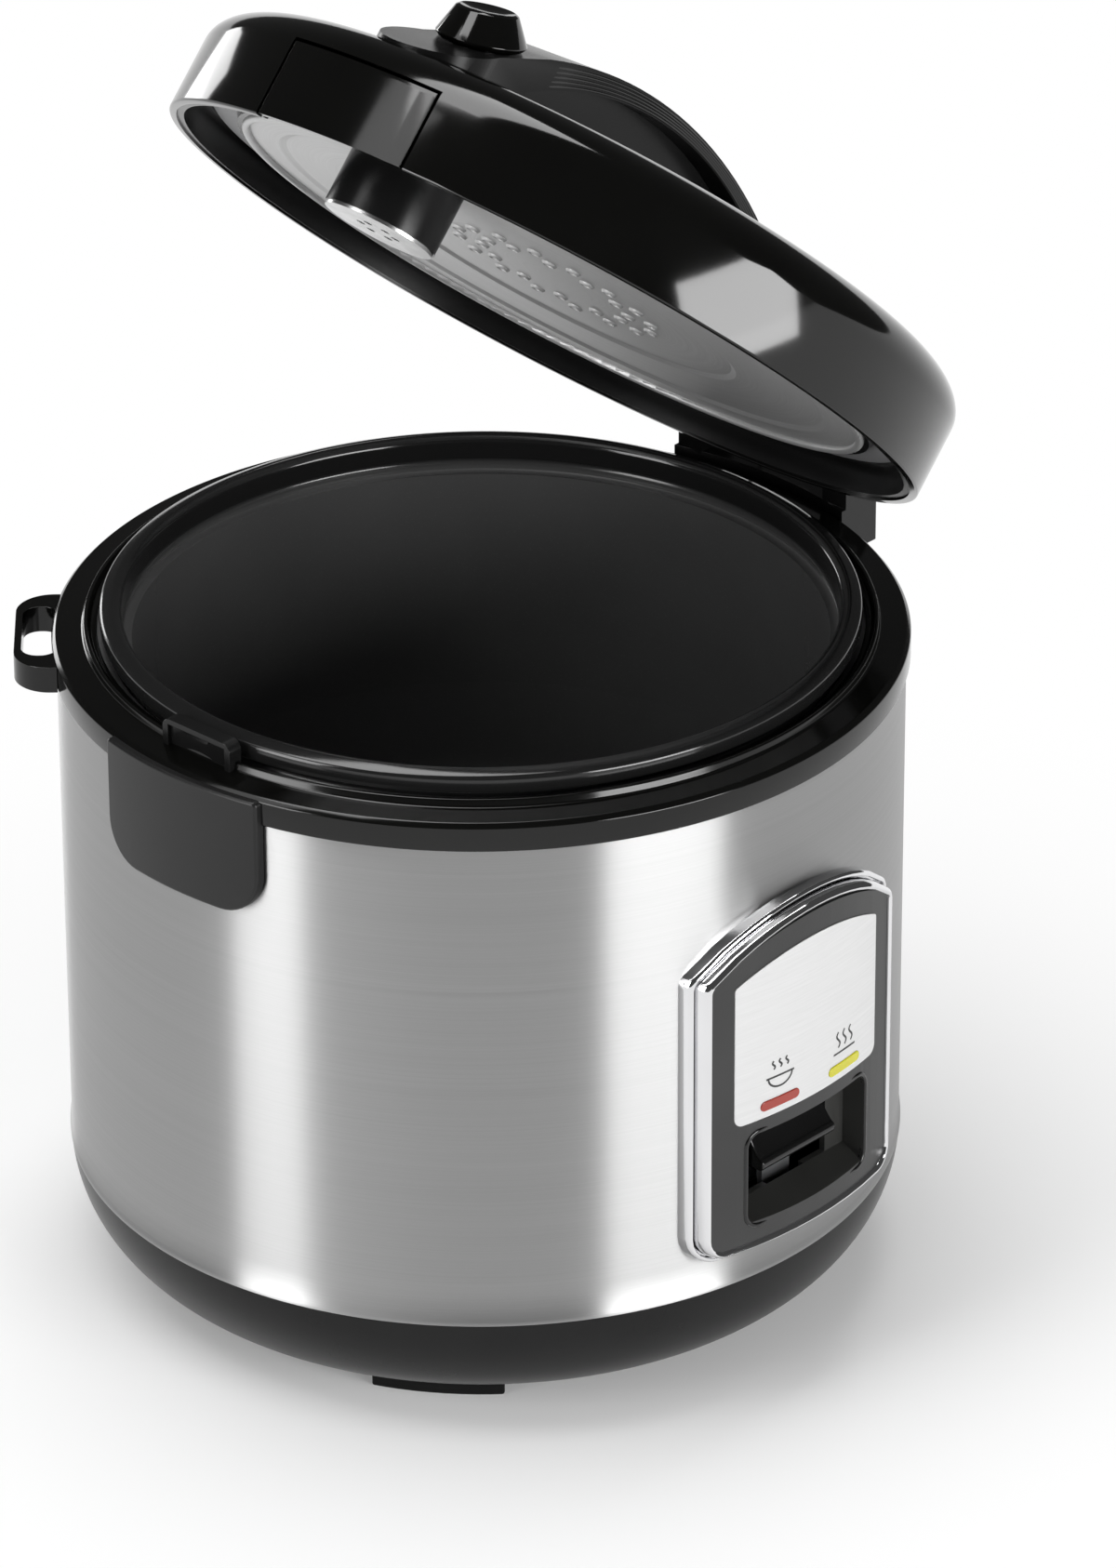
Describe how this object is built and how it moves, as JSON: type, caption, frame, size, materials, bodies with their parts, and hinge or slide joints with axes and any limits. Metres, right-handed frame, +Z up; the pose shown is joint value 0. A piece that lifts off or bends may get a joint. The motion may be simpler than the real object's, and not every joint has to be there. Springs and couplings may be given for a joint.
{
  "type": "jar rice cooker",
  "caption": "Round rice cooker with a brushed steel wrap, a hinged domed lid standing half open, a lift-out pot, a lever switch and an arched control panel.",
  "frame": {"origin": "on the body axis at the table, under the four feet", "axes": "+Z up; the control panel faces -Y; the lid latch is at -X and the lid hinge at +X, its axis along Y"},
  "size_m": [0.2671, 0.2604, 0.4019],
  "materials": {
    "base_plastic": "charcoal satin moulding",
    "zinc_sheet": "zinc-plated sheet steel",
    "screw_steel": "plated screws",
    "foot_plastic": "dark moulded feet",
    "wrap_steel": "finely brushed stainless sheet",
    "ring_gloss": "gloss black moulding",
    "apron_satin": "dark grey satin moulding",
    "frame_black": "black moulding, fine satin",
    "pin_steel": "drawn steel rod",
    "spring_steel": "spring wire",
    "case_aluminium": "drawn sheet, satin",
    "heater_aluminium": "cast and turned",
    "terminal_brass": "bare brass",
    "spacer_ceramic": "unglazed steatite",
    "insulator_plastic": "cream insulating moulding",
    "bezel_chrome": "bright plated moulding",
    "panel_charcoal": "charcoal, fine grain",
    "label_silver": "printed silver foil",
    "lens_red": "translucent red lens",
    "lens_yellow": "translucent yellow lens",
    "board_laminate": "paper laminate board",
    "pot_nonstick": "drawn aluminium under a dark satin non-stick coat",
    "paddle_gloss": "gloss black moulding",
    "magnet_iron": "ferrite magnet on a steel rod",
    "lid_gloss": "gloss black moulding",
    "seal_silicone": "grey silicone",
    "plate_aluminium": "satin pressed sheet",
    "vent_steel": "pierced disc",
    "handle_satin": "charcoal satin moulding"
  },
  "bodies": {
    "body": {"base_shell": "base_plastic", "bottom_plate": "zinc_sheet", "base_screws": "screw_steel", "feet": "foot_plastic", "steel_wrap": "wrap_steel", "upper_ring": "ring_gloss", "latch_apron": "apron_satin", "lid_catch": "frame_black", "spatula_holder": "ring_gloss", "hinge_bracket": "frame_black", "hinge_pin": "pin_steel", "lid_spring": "spring_steel", "inner_liner": "case_aluminium", "case_screws": "screw_steel", "heating_plate": "heater_aluminium", "heater_terminals": "terminal_brass", "heater_supports": "spacer_ceramic", "sensor_bracket": "zinc_sheet", "thermostat_housing": "zinc_sheet", "thermostat_cap": "heater_aluminium", "plunger_spring": "spring_steel", "lever_bracket": "zinc_sheet", "lever_pin": "pin_steel", "micro_switch": "insulator_plastic", "thermal_fuse": "spacer_ceramic", "terminal_block": "insulator_plastic", "inlet_socket": "frame_black", "inlet_pins": "terminal_brass", "panel_bezel": "bezel_chrome", "panel_face": "panel_charcoal", "label_plate": "label_silver", "cook_lens": "lens_red", "warm_lens": "lens_yellow", "lamp_board": "board_laminate"},
    "lid": {"lid_cover": "lid_gloss", "lid_inner": "frame_black", "lid_screws": "screw_steel", "lid_seal": "seal_silicone", "lid_plate": "plate_aluminium", "vent_body": "frame_black", "vent_disc": "vent_steel", "lid_handle": "handle_satin", "lid_hinge_arms": "frame_black", "latch_pin": "pin_steel", "latch_spring": "spring_steel"},
    "pot": {"inner_pot": "pot_nonstick"},
    "lever": {"lever_arm": "zinc_sheet", "switch_paddle": "paddle_gloss"},
    "plunger": {"magnet_plunger": "magnet_iron"},
    "latch": {"latch_button": "lid_gloss"},
    "cap": {"steam_cap": "handle_satin"}
  },
  "joints": [
    {"name": "lid_hinge", "type": "hinge", "parent": "body", "child": "lid", "pos_m": [0.1305, 0, 0.2186], "axis": [0, 1, 0], "range_deg": [-42.75, 42.25], "stiffness_Nm_per_rad": 0.5352, "springref_deg": 42.25},
    {"name": "latch_rock", "type": "hinge", "parent": "lid", "child": "latch", "pos_m": [-0.04738, 0, 0.38902], "axis": [0, 1, 0], "range_deg": [0, 7], "stiffness_Nm_per_rad": 0.05, "springref_deg": -8.59, "deforming": ["latch_spring"]},
    {"name": "cap_lift", "type": "slide", "parent": "lid", "child": "cap", "axis": [0.3297, 0, 0.9441], "range_m": [0, 0.02]},
    {"name": "pot_turn", "type": "hinge", "parent": "body", "child": "pot", "pos_m": [0, 0, 0.15], "axis": [0, 0, 1], "continuous": true},
    {"name": "switch_lever", "type": "hinge", "parent": "body", "child": "lever", "pos_m": [0, -0.07, 0.05], "axis": [1, 0, 0], "range_deg": [0, 8], "stiffness_Nm_per_rad": 1, "springref_deg": -8.59},
    {"name": "magnet_lift", "type": "slide", "parent": "body", "child": "plunger", "axis": [0, 0, 1], "range_m": [0, 0.0099], "deforming": ["plunger_spring"]}
  ],
  "couplings": [
    {"joint": "magnet_lift", "follows": "switch_lever", "m_per_rad": 0.0702}
  ]
}
